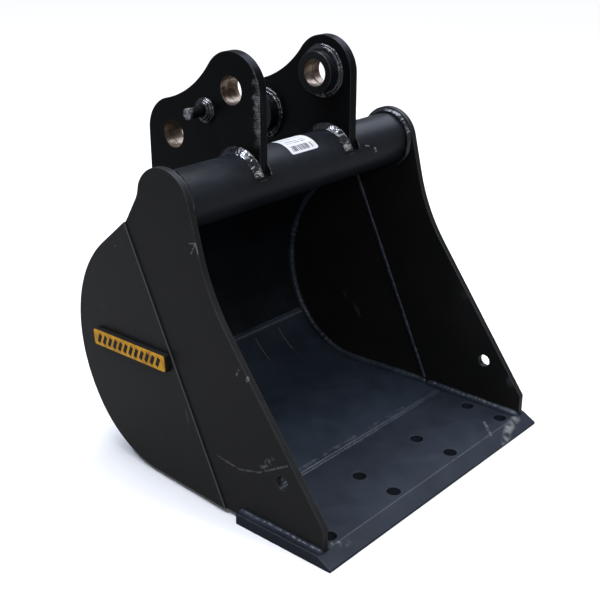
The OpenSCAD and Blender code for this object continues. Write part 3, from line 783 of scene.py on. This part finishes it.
ear_rear = math.degrees(math.acos((ear_high.y - back_centre.x) / back_bend_r))
foot_line = bend(back_centre, back_bend_r + INTO, ear_rear, run_deg - 90, 20)
foot_line.append(on_run(run_to_tube(0) - gap, INTO))
for side, sign in (("left", -1), ("right", 1)):
    runs = [([(sign * x, p.x, p.y) for p in foot_line], 0.9 * ROUND, False)
            for x in (ear_out + INTO, ear_in - INTO)]
    bead("bead_ear_foot_" + side, "weld_ear_shell_" + side, runs)

# %% [markdown]
# ## The pin-lock stub's collar
# The stub is a round bar stood on the ear and welded round and round until the weld is a mound. The
# mound is three rings laid on each other.

# %% Pile up the collar
stub_low, stub_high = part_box("pin_lock_stub")
stub = (stub_low + stub_high) / 2
passes = ((15.0, 0.2, 4.0), (11.5, 2.0, 5.2), (10.2, 6.2, 3.6))
bead("bead_stub", "weld_stub",
     [(ring(stub, r * MM, -ear_out - up * MM), radius * MM, True) for r, up, radius in passes])

# %% [markdown]
# ## The badge
# A rubbery black block is glued on the left rear plate, and its amber face carries a printed mark.
# The mark here is a plain row of slanted bars, raised a little. The badge leans with the plate, so
# the bars are made flat at the origin and carried to the face with one matrix.

# %% Mould the badge
badge_black, tree = new_material("black moulded rubber")
place = add(tree, "TexCoord", give="Object")
fine = add(tree, "TexNoise", {"Vector": place, "Scale": 1 / 0.0012, "Detail": 3.0}, give="Fac")
sheen_and_wear = add(tree, "MapRange", {"Value": fine, "From Min": 0.4, "From Max": 0.75}, give="Result")
tone = add(tree, "Mix", {"Factor": sheen_and_wear, "A": srgb("#0c0c0c"), "B": srgb("#242424")}, data_type="RGBA")
bump = add(tree, "Bump", {"Height": fine, "Strength": 0.3, "Distance": 0.1 * MM}, give="Normal")
add(tree, "OutputMaterial", {"Surface": add(tree, "BsdfPrincipled", {
    "Base Color": tone, "Roughness": 0.55, "Specular IOR Level": 0.3, "Normal": bump})})

badge_amber, tree = new_material("amber moulded plastic, scuffed")
place = add(tree, "TexCoord", give="Object")
# Dirt in blots 14 mm across, and rubbed specks 2 mm across.
blot = add(tree, "TexNoise", {"Vector": place, "Scale": 1 / 0.014, "Detail": 5.0}, give="Fac")
dirt = add(tree, "MapRange", {"Value": blot, "From Min": 0.45, "From Max": 0.75}, give="Result")
tone = add(tree, "Mix", {"Factor": dirt, "A": srgb("#e6a511"), "B": srgb("#ab7a1a")}, data_type="RGBA")
speck = add(tree, "TexNoise", {"Vector": place, "Scale": 1 / 0.002, "Detail": 3.0}, give="Fac")
rubbed = add(tree, "MapRange", {"Value": speck, "From Min": 0.62, "From Max": 0.70, "To Max": 0.8},
             give="Result")
tone = add(tree, "Mix", {"Factor": rubbed, "A": tone, "B": srgb("#4a3a16")}, data_type="RGBA")
rough = add(tree, "MapRange", {"Value": dirt, "To Min": 0.38, "To Max": 0.62}, give="Result")
bump = add(tree, "Bump", {"Height": speck, "Strength": 0.3, "Distance": 0.1 * MM}, give="Normal")
add(tree, "OutputMaterial", {"Surface": add(tree, "BsdfPrincipled", {
    "Base Color": tone, "Roughness": rough, "Specular IOR Level": 0.4, "Normal": bump})})

steel("badge_block", badge_black, 1.2 * MM)
steel("badge_face", badge_amber, 0.3 * MM)

# %% Raise the bars on the badge
BAR = (6.0 * MM, 15 * MM, 1.2 * MM)
BAR_LEAN = math.radians(-28)
PITCH = 12.4 * MM
COUNT = 12
BADGE_DROP = math.radians(3)
bars = []
for i in range(COUNT):
    bpy.ops.object.select_all(action="DESELECT")
    bpy.ops.mesh.primitive_cube_add(size=1, location=((i - (COUNT - 1) / 2) * PITCH, 0, 0),
                                    rotation=(0, 0, BAR_LEAN))
    bar = bpy.context.object
    bar.scale = BAR
    bpy.ops.object.transform_apply(location=True, rotation=True, scale=True)
    bpy.ops.object.mode_set(mode="EDIT")
    bpy.ops.mesh.select_all(action="SELECT")
    bpy.ops.mesh.bevel(offset=0.35 * MM, segments=2)
    bpy.ops.object.mode_set(mode="OBJECT")
    bars.append(bar)
for bar in bars:
    bar.select_set(True)
bpy.ops.object.join()
bars = bpy.context.object
bars.name = "badge_bars"

# The badge's own axes: its length runs back and down 3 degrees, and it faces out of the plate.
hinge = Vector((0, seam_along.x, seam_along.y))
lean = Matrix.Rotation(-toe, 3, hinge)
length_way = lean @ Vector((0, -math.cos(BADGE_DROP), math.sin(BADGE_DROP)))
up_way = lean @ Vector((0, math.sin(BADGE_DROP), math.cos(BADGE_DROP)))
out_way = length_way.cross(up_way)
faces = frame["nodes"]["badge_face"].data.vertices
middle = sum((v.co for v in faces), Vector()) / len(faces)
top = max((v.co - middle).dot(out_way) for v in faces)
turn = Matrix((length_way, up_way, out_way)).transposed().to_4x4()
bars.data.transform(Matrix.Translation(middle + out_way * top) @ turn)
bars.data.materials.append(badge_black)
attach(bars, "root")
print("badge faces", tuple(round(v, 3) for v in out_way), "bars:", len(bars.data.polygons), "faces")

# %% [markdown]
# ## The paper label
# A paper label is stuck over the top of the tube. It starts as a flat sheet with rounded corners,
# is cut into narrow strips so that it can bend, and each strip is wrapped round the tube by turning
# its distance along the sheet into an angle. The print is only bars and dashes, not words.

# %% Wrap the label
label_low, label_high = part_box("tube_label")
label_w = label_high.x - label_low.x
label_x = (label_low.x + label_high.x) / 2
FROM, TO = math.radians(44), math.radians(110)
CORNER = 4 * MM
STRIPS = 26
PAPER = 0.4 * MM
sheet_h = (TO - FROM) * tube_r
bpy.ops.object.select_all(action="DESELECT")
bpy.ops.mesh.primitive_plane_add(size=1)
label = bpy.context.object
label.name = "paper_label"
label.scale = (label_w, sheet_h, 1)
bpy.ops.object.transform_apply(location=False, rotation=False, scale=True)
bpy.ops.object.mode_set(mode="EDIT")
bpy.ops.mesh.select_all(action="SELECT")
bpy.ops.mesh.bevel(offset=CORNER, segments=5, affect="VERTICES")
for i in range(1, STRIPS):
    bpy.ops.mesh.select_all(action="SELECT")
    bpy.ops.mesh.bisect(plane_co=(0, (i / STRIPS - 0.5) * sheet_h, 0), plane_no=(0, 1, 0))
bpy.ops.object.mode_set(mode="OBJECT")
uv = label.data.uv_layers.active.data
for loop in label.data.loops:
    flat_at = label.data.vertices[loop.vertex_index].co
    uv[loop.index].uv = (flat_at.x / label_w + 0.5, flat_at.y / sheet_h + 0.5)
for v in label.data.vertices:
    angle = FROM + (v.co.y / sheet_h + 0.5) * (TO - FROM)
    v.co = (label_x + v.co.x, tube_centre.y - tube_r * math.cos(angle),
            tube_centre.z + tube_r * math.sin(angle))
modify(label, "paper", "SOLIDIFY", thickness=PAPER, offset=1)
bpy.ops.object.shade_smooth_by_angle(angle=math.radians(30))

# %% [markdown]
# The print is masks over the sheet's own two coordinates, which run from 0 to 1.

# %% Print the label
paper, tree = new_material("coated label paper with thermal print")
flat_uv = add(tree, "TexCoord", give="UV")
across = add(tree, "SeparateXYZ", {"Vector": flat_uv}, give="X")
down = add(tree, "SeparateXYZ", {"Vector": flat_uv}, give="Y")


def band(value, low, high):
    """One where value lies between low and high."""
    above = add(tree, "Math", {"Value": value, "Value_001": low}, operation="GREATER_THAN")
    below = add(tree, "Math", {"Value": value, "Value_001": high}, operation="LESS_THAN")
    return add(tree, "Math", {"Value": above, "Value_001": below}, operation="MULTIPLY")


def both(a, b):
    """One where both masks are."""
    return add(tree, "Math", {"Value": a, "Value_001": b}, operation="MULTIPLY")


def cells(value, count, seed, share):
    """Splits value into count cells and keeps a share of them, at random."""
    step = add(tree, "Math", {"Value": value, "Value_001": float(count)}, operation="MULTIPLY")
    cell = add(tree, "Math", {"Value": step}, operation="FLOOR")
    seeded = add(tree, "Math", {"Value": cell, "Value_001": seed}, operation="ADD")
    luck = add(tree, "TexWhiteNoise", {"W": seeded}, give="Value", noise_dimensions="1D")
    return add(tree, "Math", {"Value": luck, "Value_001": share}, operation="LESS_THAN")


# Bars 0.6 mm wide over most of the width, and three rows of dashes 1.4 mm tall.
ink = both(both(band(across, 0.10, 0.92), band(down, 0.08, 0.30)), cells(across, 95, 3.0, 0.5))
for row, seed in ((0.42, 11.0), (0.52, 23.0), (0.70, 37.0)):
    words = both(band(across, 0.12, 0.80), band(down, row, row + 0.03))
    dashes = both(words, cells(across, 24, seed, 0.7))
    ink = add(tree, "Math", {"Value": ink, "Value_001": dashes}, operation="MAXIMUM")
place = add(tree, "TexCoord", give="Object")
fibre = add(tree, "TexNoise", {"Vector": place, "Scale": 1 / 0.002, "Detail": 4.0}, give="Fac")
sheet_tone = add(tree, "Mix", {"Factor": fibre, "A": srgb("#dcdde0"), "B": srgb("#c9cacf")},
                 data_type="RGBA")
printed = add(tree, "Mix", {"Factor": ink, "A": sheet_tone, "B": srgb("#3c3d42")}, data_type="RGBA")
bump = add(tree, "Bump", {"Height": fibre, "Strength": 0.15, "Distance": 0.05 * MM}, give="Normal")
add(tree, "OutputMaterial", {"Surface": add(tree, "BsdfPrincipled", {
    "Base Color": printed, "Roughness": 0.45, "Normal": bump})})
label.data.materials.clear()
label.data.materials.append(paper)
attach(label, "root")
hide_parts("tube_label")
print("label", round(label_w / MM), "by", round(sheet_h / MM), "mm")

# %% [markdown]
# ## The outer box
# Softening and painting mustn't make the bucket larger, so the box now is written beside the box
# at the start.

# %% Write the two boxes and finish
low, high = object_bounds()
print("CAD box", [round(v, 4) for v in (*cad_low, *cad_high)])
print("visual box", [round(v, 4) for v in (*low, *high)])
